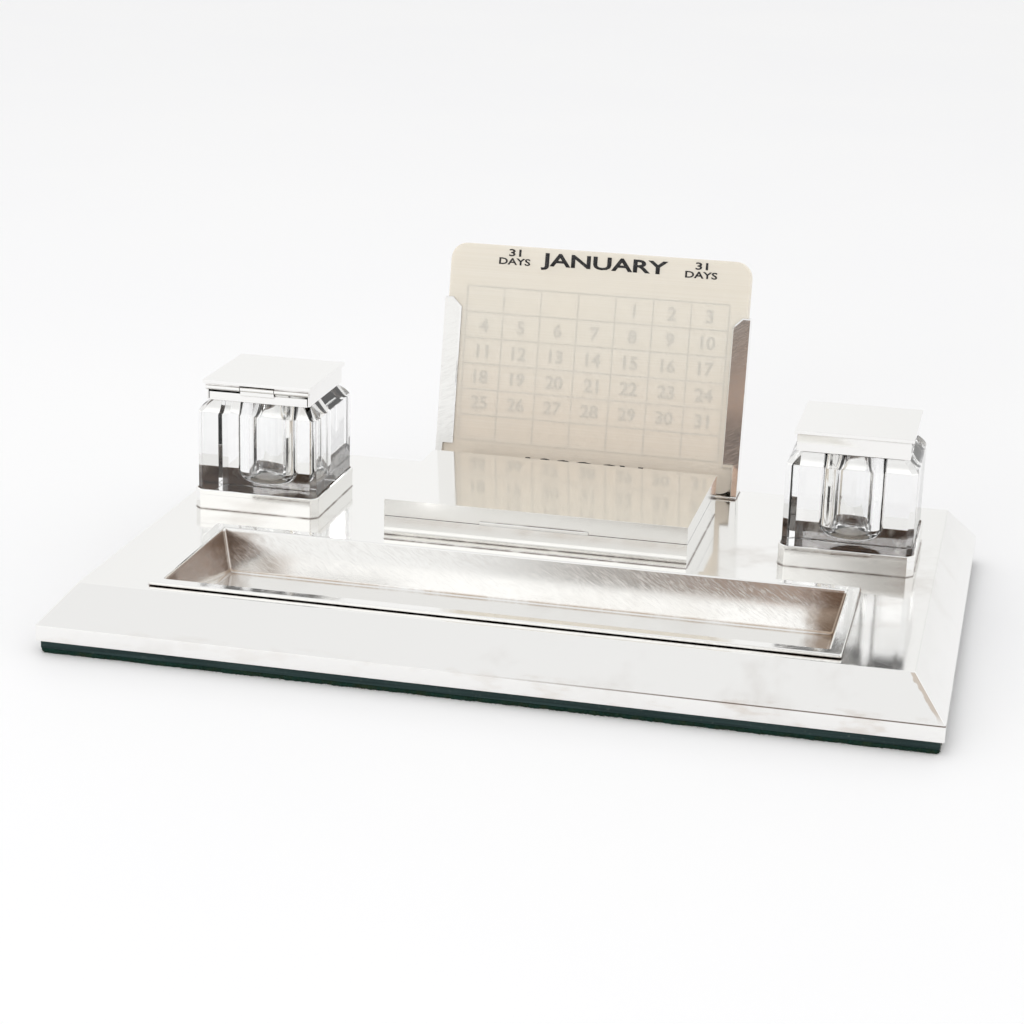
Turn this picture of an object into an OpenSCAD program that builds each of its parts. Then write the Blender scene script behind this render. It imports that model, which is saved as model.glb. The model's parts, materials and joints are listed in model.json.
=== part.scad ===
// Desk inkstand: a bevelled silver base with a lift-out pen tray, two glass inkwells with
// hinged lids, a hinged box and a leaning holder for calendar cards.
// Millimetres. +Z is up, the front faces -Y, and the origin is under the middle of the base.

/* [Base] */
// Width of the silver base
base_w = 330; // [320:1:360]
// Depth of the silver base, front to back
base_d = 217; // [215:1:240]
// Height of the flat top above the desk
top_z = 24.8; // [23.5:0.1:30]
// Height of the upright apron's top edge
apron_top_z = 10.9; // [8:0.1:14]
// Height of the apron's lower edge above the desk
apron_z = 4.9; // [4:0.1:7]
// Width of the sloping border, seen from above
bevel_run = 12.2; // [9:0.1:13]
// Thickness of the silver sheet of the base
base_sheet = 1; // [0.6:0.1:1.5]
// How far the board's edge stands back from the silver
board_inset = 1.5; // [0.5:0.1:3]
// Thickness of the baize under the board
baize_t = 1.8; // [1:0.1:2.5]

/* [Pen tray] */
// Width of the tray over its rim
tray_w = 254.4; // [200:0.2:256]
// Depth of the tray over its rim, front to back
tray_d = 73.4; // [60:0.2:75]
// Position of the tray's middle, front to back
tray_y = -55; // [-57:0.5:-54]
// Width of the tray's flat rim
rim_w = 4.6; // [3:0.1:6]
// Thickness of the rim
rim_t = 1.2; // [0.8:0.1:1.5]
// Height of the rim's upper face above the flat top
rim_rise = 1.7; // [1.5:0.1:2.5]
// Depth of the tray below its rim
tray_depth = 16.9; // [10:0.1:17.5]
// How far each inner wall leans in on its way down
tray_lean = 4; // [1:0.1:6]

/* [Inkwells] */
// Distance of each inkwell's middle from the middle of the base
well_x = 118.8; // [115:0.1:122]
// Position of the inkwells, front to back
well_y = 28.7; // [20:0.1:40]
// Width of the square silver socket
socket_w = 52; // [49:0.1:54]
// Height of the socket
socket_h = 8.2; // [5:0.1:12]
// Width of the square glass block
glass_w = 50; // [47:0.1:50.2]
// Height of the glass block's top above the base
glass_top = 44.8; // [40:0.1:50]
// Diameter of the ink well in the glass
ink_d = 25; // [18:0.5:28]
// Width of the lid's top plate
lid_w = 45.2; // [45:0.1:48]
// Height of the lid's upper face above the base
lid_top = 53.4; // [53:0.1:58.8]

/* [Box] */
// Width of the hinged box
box_w = 120.2; // [100:0.2:124]
// Depth of the hinged box, front to back
box_d = 73; // [60:0.5:74]
// Height of the hinged box
box_h = 16.5; // [14:0.1:24]
// Height of the seam between the box and its lid
box_seam = 9.7; // [8:0.1:11]
// Position of the box's front face
box_front_y = -12.5; // [-15:0.1:-10]

/* [Calendar holder] */
// Width of the holder over both rails
holder_w = 131.2; // [110:0.2:140]
// Position of the holder's front face where it meets the base
holder_y = 83.1; // [82:0.1:88]
// Length of the rails up the slope
rail_l = 75.7; // [50:0.1:85]
// Width of a rail's flange
flange_w = 7.3; // [5:0.1:9]
// Lean of the holder, towards the back
lean = 11; // [5:0.5:14]
// Thickness of one card
card_t = 0.8; // [0.6:0.1:0.9]
// Height of the cards' top edge up the slope
card_top = 98.9; // [80:0.1:110]

/* [Hidden] */
$fn = 96;
silver = "gainsboro";

// base
bevel_rise = top_z - apron_top_z;
rim_under_z = top_z + rim_rise - rim_t;
cut_over = 1;
screw_xs = [-150, 0, 150];
screw_ys = [-96, 98];
screw_head_r = 3.2;
screw_shank_r = 1.5;
screw_head_h = 1.7;
screw_top_z = 14;

// pen tray
tray_sheet = 0.8;
tray_gap = 0.5;
tray_floor_z = top_z + rim_rise - tray_depth;
tray_under_z = tray_floor_z - tray_sheet;
tray_slope = tray_lean / tray_depth;
tray_side = tray_sheet * norm([1, tray_slope]);
tray_floor_w = tray_w - 2 * (rim_w + tray_lean);
tray_floor_d = tray_d - 2 * (rim_w + tray_lean);
pocket_w = tray_w - 2 * rim_w + 2 * (tray_side + tray_gap);
pocket_d = tray_d - 2 * rim_w + 2 * (tray_side + tray_gap);

// inkwells
socket_wall = 0.7;
socket_cut = 2.6;
socket_lip_h = 2;
socket_lip = 0.15;
pad_t = 1;
pad_gap = 0.2;
glass_cut = 2.2;
shoulder_drop = 5;
shoulder_mid_drop = 2.1;
shoulder_mid_in = 1.3;
neck_w = 41.8;
ink_floor = 8;
ink_round = 5;
collar_h = 3.5;
collar_half = 20.6;
collar_face = 21.3;
skirt_half = 21.6;
skirt_t = 0.7;
skirt_z = glass_top + 0.3;
plate_t = 1.4;
plate_z = lid_top - plate_t;
plate_hinge_edge = 23.6;
lid_axis_y = -22;
lid_axis_z = glass_top + 5.6;
lid_barrel_r = 1.15;
lid_pin_r = 0.5;
lid_run = 0.05;
knuckle_gap = 0.2;
knuckle_l = 2 * skirt_half / 3;
leaf_half = 0.7;
leaf_root = 0.4;

// box
box_sheet = 1;
seam_gap = 0.1;
lining_t = 3;
lining_floor_t = 2;
lining_gap = 0.1;
lining_lip = 1.4;
lining_set_in = 0.4;
divider_t = 3;
box_barrel_r = 1.5;
box_pin_r = 0.7;
box_run = 0.05;
box_axis_out = 0.9;
box_axis_y = box_front_y + box_d + box_axis_out;
box_axis_z = top_z + box_seam;
box_knuckles = 5;
box_hinge_l = 110;
box_knuckle_l = box_hinge_l / box_knuckles;
box_leaf_h = 2.5;
box_hinge_clear = 0.25;
thumb_w = 43;
thumb_h = 1.1;
thumb_out = 0.8;

// calendar holder
rail_sheet = 0.8;
card_gap = 0.25;
card_count = 5;
card_side_gap = 0.4;
card_round = 7;
card_rest_gap = 0.05;
card_w = holder_w - 2 * (rail_sheet + card_side_gap);
channel = card_count * card_t + (card_count + 1) * card_gap;
rail_depth = channel + 2 * rail_sheet;
flange_corner = 4;
flange_foot_h = 13;
flange_foot_w = 3;
foot_t = 1;
foot_d = 13;
foot_y = holder_y - 1;
rail_below = 3;

// ---- shared shapes ----

// Block from x0 to x1, y0 to y1 and z0 to z1
module block(x, y, z) {
    translate([x[0], y[0], z[0]]) cube([x[1] - x[0], y[1] - y[0], z[1] - z[0]]);
}

// Solid that has one outline seen from the front and another seen from the side
module two_way(front_outline, side_outline, reach) {
    intersection() {
        rotate([90, 0, 0]) linear_extrude(reach, center = true) polygon(front_outline);
        rotate([90, 0, 90]) linear_extrude(reach, center = true) polygon(side_outline);
    }
}

// Rod along X, centred on the Z axis
module rod(r, l) {
    rotate([0, 90, 0]) cylinder(r = r, h = l, center = true);
}

// Square with its four corners cut off
module cut_square(size, cut) {
    h = size / 2;
    k = h - cut;
    polygon([[k, -h], [h, -k], [h, k], [k, h], [-k, h], [-h, k], [-h, -k], [-k, -h]]);
}

// ---- base ----

// Half of the bevelled outline's corners, with every face moved inwards by the inset
function bevel_outline(size, inset, floor_z) =
    let (
        half = size / 2,
        shift = inset * norm([bevel_run, bevel_rise]) / bevel_rise,
        flat_z = top_z - inset,
        flat_x = half - shift - bevel_run * (flat_z - apron_top_z) / bevel_rise,
        side_x = half - inset,
        side_z = apron_top_z + bevel_rise * (inset - shift) / bevel_run
    )
    [[-side_x, floor_z], [side_x, floor_z], [side_x, side_z],
        [flat_x, flat_z], [-flat_x, flat_z], [-side_x, side_z]];

module bevelled_block(inset, floor_z) {
    two_way(bevel_outline(base_w, inset, floor_z), bevel_outline(base_d, inset, floor_z), 2 * base_w);
}

module at_each_screw() {
    for (x = screw_xs) {
        for (y = screw_ys) {
            translate([x, y, baize_t]) children();
        }
    }
}

module screw(extra = 0) {
    cylinder(r1 = screw_head_r + extra, r2 = screw_shank_r + extra, h = screw_head_h);
    cylinder(r = screw_shank_r + extra, h = screw_top_z - baize_t);
}

module board_plate(z0, z1) {
    half_w = base_w / 2 - board_inset;
    half_d = base_d / 2 - board_inset;
    block([-half_w, half_w], [-half_d, half_d], [z0, z1]);
}

module baize() {
    color("darkslategray") board_plate(0, baize_t);
}

module base_board() {
    color("#1d2b27") difference() {
        board_plate(baize_t, apron_z);
        at_each_screw() screw();
    }
}

module board_screws() {
    color("goldenrod") at_each_screw() screw();
}

module wood_core() {
    color("burlywood") difference() {
        bevelled_block(base_sheet, apron_z);
        translate([0, tray_y, 0]) block([-pocket_w / 2, pocket_w / 2], [-pocket_d / 2, pocket_d / 2],
            [tray_under_z, top_z]);
        at_each_screw() screw();
    }
}

module base_shell() {
    color(silver) difference() {
        bevelled_block(0, apron_z);
        bevelled_block(base_sheet, apron_z - cut_over);
        translate([0, tray_y, 0]) block([-pocket_w / 2, pocket_w / 2], [-pocket_d / 2, pocket_d / 2],
            [tray_floor_z, top_z + cut_over]);
    }
}

// ---- pen tray ----

// Outline of a trough that widens upwards by the tray's slope
function trough_outline(floor_size, z0, z1) =
    let (low = floor_size / 2, high = low + tray_slope * (z1 - z0))
    [[-low, z0], [low, z0], [high, z1], [-high, z1]];

module trough(w, d, z0, z1) {
    two_way(trough_outline(w, z0, z1), trough_outline(d, z0, z1), 2 * tray_w);
}

module pen_tray() {
    under_out = 2 * (tray_side - tray_slope * tray_sheet);
    rim_top_z = rim_under_z + rim_t;
    color(silver) translate([0, tray_y, 0]) difference() {
        union() {
            block([-tray_w / 2, tray_w / 2], [-tray_d / 2, tray_d / 2], [rim_under_z, rim_top_z]);
            trough(tray_floor_w + under_out, tray_floor_d + under_out, tray_under_z, rim_top_z - rim_t / 2);
        }
        trough(tray_floor_w, tray_floor_d, tray_floor_z, rim_top_z + cut_over);
    }
}

// ---- inkwells: drawn with the hinge towards the front ----

// The left inkwell has its hinge at the front, and the right one at the back
module on_side(side) {
    translate([side * well_x, well_y, top_z]) rotate([0, 0, side < 0 ? 0 : 180]) children();
}

module socket() {
    color(silver) difference() {
        union() {
            linear_extrude(socket_h) cut_square(socket_w, socket_cut);
            translate([0, 0, socket_h - socket_lip_h]) linear_extrude(socket_lip_h)
                cut_square(socket_w + 2 * socket_lip, socket_cut);
        }
        translate([0, 0, -cut_over]) linear_extrude(socket_h + 2 * cut_over)
            cut_square(socket_w - 2 * socket_wall, glass_cut);
    }
}

module pad() {
    color("#4a3a2c") linear_extrude(pad_t) cut_square(socket_w - 2 * (socket_wall + pad_gap), glass_cut);
}

// Round-bottomed well for the ink, from its floor up to the top given
module ink_well(top) {
    r = ink_d / 2;
    core = r - ink_round;
    translate([0, 0, pad_t + ink_floor]) rotate_extrude() {
        square([core, top]);
        translate([0, ink_round]) square([r, top]);
        translate([core, ink_round]) circle(ink_round);
    }
}

function shoulder_outline() =
    let (h = glass_w / 2, m = h - shoulder_mid_in, n = neck_w / 2,
        low = glass_top - shoulder_drop, mid = glass_top - shoulder_mid_drop)
    [[-h, pad_t], [h, pad_t], [h, low], [m, mid], [n, glass_top],
        [-n, glass_top], [-m, mid], [-h, low]];

module glass() {
    color("aliceblue", 0.4) difference() {
        intersection() {
            two_way(shoulder_outline(), shoulder_outline(), 2 * glass_w);
            linear_extrude(2 * glass_top) cut_square(glass_w, glass_cut);
        }
        ink_well(glass_top);
    }
}

// One knuckle round the lid's hinge pin, running from x0 to x1
module lid_knuckle(x0, x1) {
    translate([(x0 + x1) / 2, lid_axis_y, lid_axis_z]) rod(lid_barrel_r, x1 - x0);
}

module collar() {
    half = knuckle_l / 2 - knuckle_gap / 2;
    top = glass_top + collar_h;
    color(silver) difference() {
        union() {
            block([-collar_half, collar_half], [-collar_face, collar_half], [glass_top, top]);
            block([-half, half], [lid_axis_y - leaf_half, -collar_half], [top - leaf_root, lid_axis_z]);
            lid_knuckle(-half, half);
        }
        translate([0, 0, glass_top - cut_over]) cylinder(r = ink_d / 2, h = collar_h + 2 * cut_over);
        translate([0, lid_axis_y, lid_axis_z]) rod(lid_pin_r, 2 * skirt_half);
    }
}

module lid() {
    inner = skirt_half - skirt_t;
    near = knuckle_l / 2 + knuckle_gap / 2;
    color(silver) difference() {
        union() {
            block([-lid_w / 2, lid_w / 2], [-plate_hinge_edge, lid_w / 2], [plate_z, lid_top]);
            difference() {
                block([-skirt_half, skirt_half], [-collar_face, skirt_half], [skirt_z, plate_z]);
                block([-inner, inner], [-collar_face - cut_over, inner], [skirt_z - cut_over, plate_z]);
            }
            for (x = [[-skirt_half, -near], [near, skirt_half]]) {
                lid_knuckle(x[0], x[1]);
                block(x, [lid_axis_y - leaf_half, lid_axis_y + leaf_half], [lid_axis_z, plate_z]);
            }
        }
        translate([0, lid_axis_y, lid_axis_z]) rod(lid_pin_r + lid_run, 2 * lid_w);
    }
}

module lid_pin() {
    color("darkgray") translate([0, lid_axis_y, lid_axis_z]) rod(lid_pin_r, 2 * skirt_half);
}

module left_socket() { on_side(-1) socket(); }
module left_pad() { on_side(-1) pad(); }
module left_glass() { on_side(-1) glass(); }
module left_collar() { on_side(-1) collar(); }
module left_lid() { on_side(-1) lid(); }
module left_hinge_pin() { on_side(-1) lid_pin(); }
module right_socket() { on_side(1) socket(); }
module right_pad() { on_side(1) pad(); }
module right_glass() { on_side(1) glass(); }
module right_collar() { on_side(1) collar(); }
module right_lid() { on_side(1) lid(); }
module right_hinge_pin() { on_side(1) lid_pin(); }

// ---- hinged box ----

// Block that stands in from the box's outer faces by the inset
module box_block(inset, z0, z1) {
    block([inset - box_w / 2, box_w / 2 - inset],
        [box_front_y + inset, box_front_y + box_d - inset], [top_z + z0, top_z + z1]);
}

// Places a shape at every second knuckle of the box's hinge, beginning with the one given
module at_box_knuckles(first) {
    for (i = [first : 2 : box_knuckles - 1]) {
        translate([(i + 0.5) * box_knuckle_l - box_hinge_l / 2, box_axis_y, box_axis_z]) children();
    }
}

// Knuckle with its leaf, which reaches up for the lid and down for the box
module box_knuckle(leaf_z) {
    l = box_knuckle_l - knuckle_gap;
    rod(box_barrel_r, l);
    block([-l / 2, l / 2], [-box_axis_out - box_sheet / 2, 0], leaf_z);
}

module box_body() {
    color(silver) difference() {
        union() {
            difference() {
                box_block(0, 0, box_seam - seam_gap);
                box_block(box_sheet, box_sheet, box_h);
                at_box_knuckles(1) rod(box_barrel_r + box_hinge_clear, box_knuckle_l);
            }
            at_box_knuckles(0) box_knuckle([-box_leaf_h, 0]);
        }
        translate([0, box_axis_y, box_axis_z]) rod(box_pin_r, box_w);
    }
}

module box_lid() {
    color(silver) difference() {
        union() {
            difference() {
                box_block(0, box_seam + seam_gap, box_h);
                box_block(box_sheet, 0, box_h - box_sheet);
                at_box_knuckles(0) rod(box_barrel_r + box_hinge_clear, box_knuckle_l);
            }
            at_box_knuckles(1) box_knuckle([0, box_leaf_h]);
        }
        translate([0, box_axis_y, box_axis_z]) rod(box_pin_r + box_run, box_w);
    }
}

module box_lining() {
    lip_z = box_seam + lining_lip;
    outer = box_sheet + lining_gap;
    bay = outer + lining_t;
    color("peru") difference() {
        union() {
            box_block(outer + lining_set_in, box_sheet, lip_z);
            box_block(outer, box_sheet, box_seam - seam_gap - box_hinge_clear - box_barrel_r);
        }
        difference() {
            box_block(bay, box_sheet + lining_floor_t, box_h);
            block([-divider_t / 2, divider_t / 2], [box_front_y, box_front_y + box_d], [top_z, top_z + box_h]);
        }
    }
}

module box_thumb_strip() {
    low = top_z + box_seam + seam_gap;
    color(silver) block([-thumb_w / 2, thumb_w / 2], [box_front_y - thumb_out, box_front_y], [low, low + thumb_h]);
}

module box_hinge_pin() {
    color("darkgray") translate([0, box_axis_y, box_axis_z]) rod(box_pin_r, box_hinge_l);
}

// ---- calendar holder ----

// Leans a shape back from the line where the holder's front face meets the base
module leaning() {
    translate([0, holder_y, top_z]) rotate([-lean, 0, 0]) children();
}

// Upright sheet, from the depth y0 to y1, with its outline in X and Z
module sheet(y0, y1) {
    translate([0, y1, 0]) rotate([90, 0, 0]) linear_extrude(y1 - y0) children();
}

module calendar_foot() {
    color(silver) block([-holder_w / 2, holder_w / 2], [foot_y, foot_y + foot_d], [top_z, top_z + foot_t]);
}

module right_rail() {
    out = holder_w / 2;
    in = out - flange_w;
    narrow = out - flange_foot_w;
    color(silver) difference() {
        leaning() {
            sheet(0, rail_sheet) polygon([[narrow, -rail_below], [out, -rail_below], [out, rail_l],
                [in + flange_corner, rail_l], [in, rail_l - flange_corner],
                [in, flange_foot_h], [narrow, flange_foot_h]]);
            block([out - rail_sheet, out], [0, rail_depth], [-rail_below, rail_l]);
            block([in, out], [rail_depth - rail_sheet, rail_depth], [-rail_below, rail_l]);
        }
        block([0, holder_w], [foot_y - cut_over, foot_y + 2 * foot_d], [0, top_z + foot_t]);
    }
}

module left_rail() {
    mirror([1, 0, 0]) right_rail();
}

// Reversible card with four round corners, counted from the front
module card(index) {
    front = rail_sheet + card_gap + index * (card_t + card_gap);
    back = front + card_t;
    low = (foot_t + card_rest_gap + back * sin(lean)) / cos(lean);
    half = card_w / 2;
    leaning() sheet(front, back) {
        translate([-half + card_round, low]) square([card_w - 2 * card_round, card_top - low]);
        translate([-half, low + card_round]) square([card_w, card_top - low - 2 * card_round]);
        for (x = [-half + card_round, half - card_round]) {
            for (z = [low + card_round, card_top - card_round]) {
                translate([x, z]) circle(card_round);
            }
        }
    }
}

module month_card() { color("antiquewhite") card(0); }
module date_card() { color("oldlace") card(1); }
module spare_card_1() { color("oldlace") card(2); }
module spare_card_2() { color("oldlace") card(3); }
module spare_card_3() { color("oldlace") card(4); }

baize();
base_board();
board_screws();
wood_core();
base_shell();
pen_tray();
left_socket();
left_pad();
left_glass();
left_collar();
left_lid();
left_hinge_pin();
right_socket();
right_pad();
right_glass();
right_collar();
right_lid();
right_hinge_pin();
box_body();
box_lining();
box_lid();
box_thumb_strip();
box_hinge_pin();
calendar_foot();
left_rail();
right_rail();
month_card();
date_card();
spare_card_1();
spare_card_2();
spare_card_3();
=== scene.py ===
"""Looks of the desk inkstand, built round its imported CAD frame.

Metres, +Z up, the front faces -Y. Silver shapes with an even section are lofted afresh with rounded
edges, the other CAD shapes are copied and their edges rounded, and each piece rides on its CAD body.
"""
import json
import math
import random

import bmesh
import bpy
from mathutils import Matrix, Vector


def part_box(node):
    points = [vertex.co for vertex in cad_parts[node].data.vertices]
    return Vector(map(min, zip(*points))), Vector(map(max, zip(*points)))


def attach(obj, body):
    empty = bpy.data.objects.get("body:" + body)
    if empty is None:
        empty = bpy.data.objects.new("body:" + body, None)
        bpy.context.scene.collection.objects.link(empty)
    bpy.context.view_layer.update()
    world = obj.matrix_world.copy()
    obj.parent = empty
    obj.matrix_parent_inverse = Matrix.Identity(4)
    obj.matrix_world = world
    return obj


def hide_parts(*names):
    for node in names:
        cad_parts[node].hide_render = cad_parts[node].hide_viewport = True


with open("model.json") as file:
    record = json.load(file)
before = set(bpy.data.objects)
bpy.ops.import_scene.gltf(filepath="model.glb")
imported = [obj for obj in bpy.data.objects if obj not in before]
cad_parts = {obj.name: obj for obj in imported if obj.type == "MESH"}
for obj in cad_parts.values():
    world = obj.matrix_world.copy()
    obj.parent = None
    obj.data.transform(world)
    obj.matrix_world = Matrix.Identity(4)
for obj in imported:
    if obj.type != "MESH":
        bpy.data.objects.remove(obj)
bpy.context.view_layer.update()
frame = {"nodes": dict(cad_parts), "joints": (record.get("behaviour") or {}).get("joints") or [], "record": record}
nodes = frame["nodes"]
joints = {j["name"]: j for j in frame["joints"]}
body_of_node = {n: b for b, ns in frame["record"]["behaviour"]["bodies"].items() for n in ns}

MM = 0.001


# ---------------------------------------------------------------- node helpers

class Nodes:
    """A node tree, with one short method for each kind of node that the finishes and the light tent use."""

    def __init__(self, tree, coordinate):
        self.tree = tree
        self.place = self.add("ShaderNodeTexCoord").outputs[coordinate]

    def add(self, kind, **settings):
        node = self.tree.nodes.new(kind)
        for key, value in settings.items():
            setattr(node, key, value)
        return node

    def link(self, value, socket):
        """Puts a number, a colour or another node's output into a socket."""
        if isinstance(value, bpy.types.NodeSocket):
            self.tree.links.new(value, socket)
        else:
            socket.default_value = value

    def stretched(self, scale, turn=(0, 0, 0)):
        turned = self.add("ShaderNodeMapping")
        self.link(self.place, turned.inputs["Vector"])
        turned.inputs["Rotation"].default_value = turn
        node = self.add("ShaderNodeMapping")
        self.link(turned.outputs["Vector"], node.inputs["Vector"])
        node.inputs["Scale"].default_value = scale
        return node.outputs["Vector"]

    def noise(self, scale, detail=2.0, roughness=0.5, place=None, distortion=0.0):
        node = self.add("ShaderNodeTexNoise")
        self.link(place or self.place, node.inputs["Vector"])
        node.inputs["Scale"].default_value = scale
        node.inputs["Detail"].default_value = detail
        node.inputs["Roughness"].default_value = roughness
        node.inputs["Distortion"].default_value = distortion
        return node.outputs["Fac"]

    def math(self, operation, a, b=0.0, clamp=False):
        node = self.add("ShaderNodeMath", operation=operation, use_clamp=clamp)
        self.link(a, node.inputs[0])
        self.link(b, node.inputs[1])
        return node.outputs[0]

    def between(self, value, low, high, out_low=0.0, out_high=1.0):
        """Maps value from low..high to out_low..out_high, smoothly and held at both ends."""
        node = self.add("ShaderNodeMapRange", interpolation_type="SMOOTHSTEP")
        self.link(value, node.inputs["Value"])
        self.link(low, node.inputs["From Min"])
        self.link(high, node.inputs["From Max"])
        self.link(out_low, node.inputs["To Min"])
        self.link(out_high, node.inputs["To Max"])
        return node.outputs["Result"]

    def mix(self, share, a, b):
        node = self.add("ShaderNodeMix", data_type="RGBA")
        self.link(share, node.inputs["Factor"])
        self.link(a, node.inputs["A"])
        self.link(b, node.inputs["B"])
        return node.outputs["Result"]

    def product(self, *values):
        total = values[0]
        for value in values[1:]:
            total = self.math("MULTIPLY", total, value)
        return total

    def crevice(self, reach):
        """1 in a seam or corner narrower than reach, and 0 on open faces."""
        node = self.add("ShaderNodeAmbientOcclusion", samples=6)
        node.inputs["Distance"].default_value = reach
        return self.math("SUBTRACT", 1.0, node.outputs["AO"], clamp=True)

    def parts(self, vector=None):
        """A vector's three parts. Without a vector, the parts of the place."""
        node = self.add("ShaderNodeSeparateXYZ")
        self.link(vector or self.place, node.inputs[0])
        return node.outputs


class Finish(Nodes):
    """A material and its shader."""

    def __init__(self, name, **sockets):
        self.material = bpy.data.materials.new(name)
        self.material.use_nodes = True
        super().__init__(self.material.node_tree, "Object")
        self.shader = self.tree.nodes["Principled BSDF"]
        for label, value in sockets.items():
            self.shader.inputs[label.replace("_", " ")].default_value = value

    def colour(self, value):
        self.link(value, self.shader.inputs["Base Color"])

    def rough(self, value):
        self.link(value, self.shader.inputs["Roughness"])

    def bump(self, *layers):
        """Stacks (height, depth in metres) layers into the shader's normal."""
        normal = None
        for height, depth in layers:
            node = self.add("ShaderNodeBump")
            node.inputs["Strength"].default_value = 1.0
            node.inputs["Distance"].default_value = depth
            self.link(height, node.inputs["Height"])
            if normal:
                self.link(normal, node.inputs["Normal"])
            normal = node.outputs["Normal"]
        self.link(normal, self.shader.inputs["Normal"])


# ---------------------------------------------------------------- finishes

SILVER = (0.935, 0.93, 0.915, 1)
TARNISH = (0.11, 0.06, 0.035, 1)
# the next brown is tarnish, and in the tray's corners also painted shade and a painted reflection of the room
TARNISH_AND_PAINTED_SHADE_BROWN = (0.36, 0.28, 0.22, 1)
TARNISH_TAN = (0.50, 0.38, 0.27, 1)
TARNISH_GREY = (0.52, 0.46, 0.41, 1)


def silver_finish(name, rough=0.07, scratch=0.05, seam=0.9, wave=1.0, patch=0.0, turn=0.5, coat=None):
    """Hand-polished silver: slow waves in the sheet, fine polishing scratches and brown seams.

    coat takes the finish and its colour so far and returns the colour with the piece's own stains; on the tray it
    also adds painted shade and a painted reflection in the corners.
    """
    f = Finish(name, Metallic=1.0)
    waves = f.noise(14, detail=1.0)
    ripple = f.noise(70, detail=2.0)
    normal = f.parts(f.add("ShaderNodeTexCoord").outputs["Normal"])
    level = f.between(f.math("ABSOLUTE", normal["Z"]), 0.6, 0.8)
    lines = f.noise(1.0, detail=3.0, place=f.stretched((40, 3200, 3200), (0, 0, turn)))
    cross = f.noise(1.0, detail=3.0, place=f.stretched((24, 2600, 2600), (0, turn, 0)))
    upright = f.product(f.between(cross, 0.4, 0.72), f.math("SUBTRACT", 1.0, level))
    hairs = f.math("ADD", f.product(f.between(lines, 0.58, 0.72), level), upright)
    cloud = f.noise(22, detail=4.0, roughness=0.62)
    rubbed = f.between(cloud, 0.35, 0.75, 0.0, 0.04)
    f.rough(f.math("ADD", f.math("ADD", rubbed, rough), f.product(hairs, scratch)))
    bloom = f.product(f.between(cloud, 0.55, 0.8), patch)
    colour = f.mix(bloom, SILVER, TARNISH_GREY)
    if coat:
        colour = coat(f, colour)
    spots = f.between(f.noise(130, detail=5.0), 0.3, 0.55, 0.35, 1.0)
    dirt = f.product(f.between(f.crevice(1.3 * MM), 0.24, 0.48), seam, spots)
    f.colour(f.mix(dirt, colour, TARNISH))
    f.bump((waves, 0.25 * MM * wave), (ripple, 0.012 * MM * wave), (hairs, 0.008 * MM * scratch))
    return f.material


def base_stain(f, colour):
    """A dark line along the crease over the front apron, and tan stains there and by the right mitre."""
    low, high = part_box("base_shell")
    crease = max(v.co.z for v in nodes["base_shell"].data.vertices if abs(v.co.x - high.x) < 0.01 * MM)
    x, y, z = f.parts()
    front = f.between(y, low.y + 1 * MM, low.y + 2 * MM, 1.0, 0.0)
    # the mitre runs where x is as far from the right edge as y is from the front edge
    off = f.math("SUBTRACT", f.math("SUBTRACT", high.x, x), f.math("SUBTRACT", y, low.y))
    uneven = f.math("ADD", off, f.product(f.math("SUBTRACT", f.noise(240, detail=3.0), 0.5), 3 * MM))
    mitre = f.product(f.between(off, 0.0, 0.1 * MM), f.between(uneven, 1.6 * MM, 2.4 * MM, 1.0, 0.0))
    above_crease = f.between(z, crease, crease + 4 * MM)
    below_top = f.between(z, high.z - 0.4 * MM, high.z, 1.0, 0.0)
    mitre = f.product(mitre, f.product(above_crease, below_top), f.between(x, 0.0, 0.01, 0.0, 0.6))
    foot = f.between(f.noise(1.0, detail=4.0, place=f.stretched((55, 55, 160))), 0.5, 0.66, 0.0, 0.3)
    foot = f.product(foot, front, f.between(x, -0.04, 0.1, 0.3, 1.0))
    colour = f.mix(f.math("MAXIMUM", mitre, foot), colour, TARNISH_TAN)
    away = f.math("ABSOLUTE", f.math("SUBTRACT", z, crease - 0.05 * MM))
    near = f.between(away, 0.1 * MM, 0.32 * MM, 1.0, 0.0)
    line = f.product(near, front, f.between(x, -0.02, 0.09, 0.0, 0.85))
    return f.mix(line, colour, TARNISH)


def tray_stain(f, colour):
    """Brown tarnish in the crease round the tray's floor, and brown in its four corners, stronger to the right,
    that is partly tarnish and partly painted shade and a painted reflection of the room.
    """
    low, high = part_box("pen_tray")
    verts = [v.co for v in nodes["pen_tray"].data.vertices]
    floor = sorted({round(v.z, 5) for v in verts})[1]
    crease = high.x - max(v.x for v in verts if abs(v.z - floor) < 0.02 * MM)
    x, y, z = f.parts()
    middle = (low.y + high.y) / 2
    from_end = f.math("SUBTRACT", high.x, f.math("ABSOLUTE", x))
    from_side = f.math("SUBTRACT", high.y - middle, f.math("ABSOLUTE", f.math("SUBTRACT", y, middle)))
    corner_jitter = f.product(f.math("SUBTRACT", f.noise(90, detail=4.0), 0.5), 26 * MM)
    corner = f.math("ADD", f.math("ADD", from_end, from_side), corner_jitter)
    # painted light: this corner brown, stronger on the right, is painted shade in the corners and a painted
    # reflection of the room as well as tarnish
    corner = f.product(f.between(corner, 15 * MM, 27 * MM, 1.0, 0.0), f.between(x, -0.1, 0.1, 0.6, 0.95))
    corner = f.product(corner, f.between(z, high.z - 1.6 * MM, high.z - 0.8 * MM, 1.0, 0.0))
    colour = f.mix(corner, colour, TARNISH_AND_PAINTED_SHADE_BROWN)
    edge = f.math("MINIMUM", from_end, from_side)
    near = f.between(f.math("ABSOLUTE", f.math("SUBTRACT", edge, crease)), 0.05 * MM, 0.35 * MM, 0.75, 0.0)
    line = f.product(near, f.between(f.noise(60, detail=5.0, roughness=0.7), 0.3, 0.62))
    return f.mix(line, colour, TARNISH_TAN)


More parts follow.
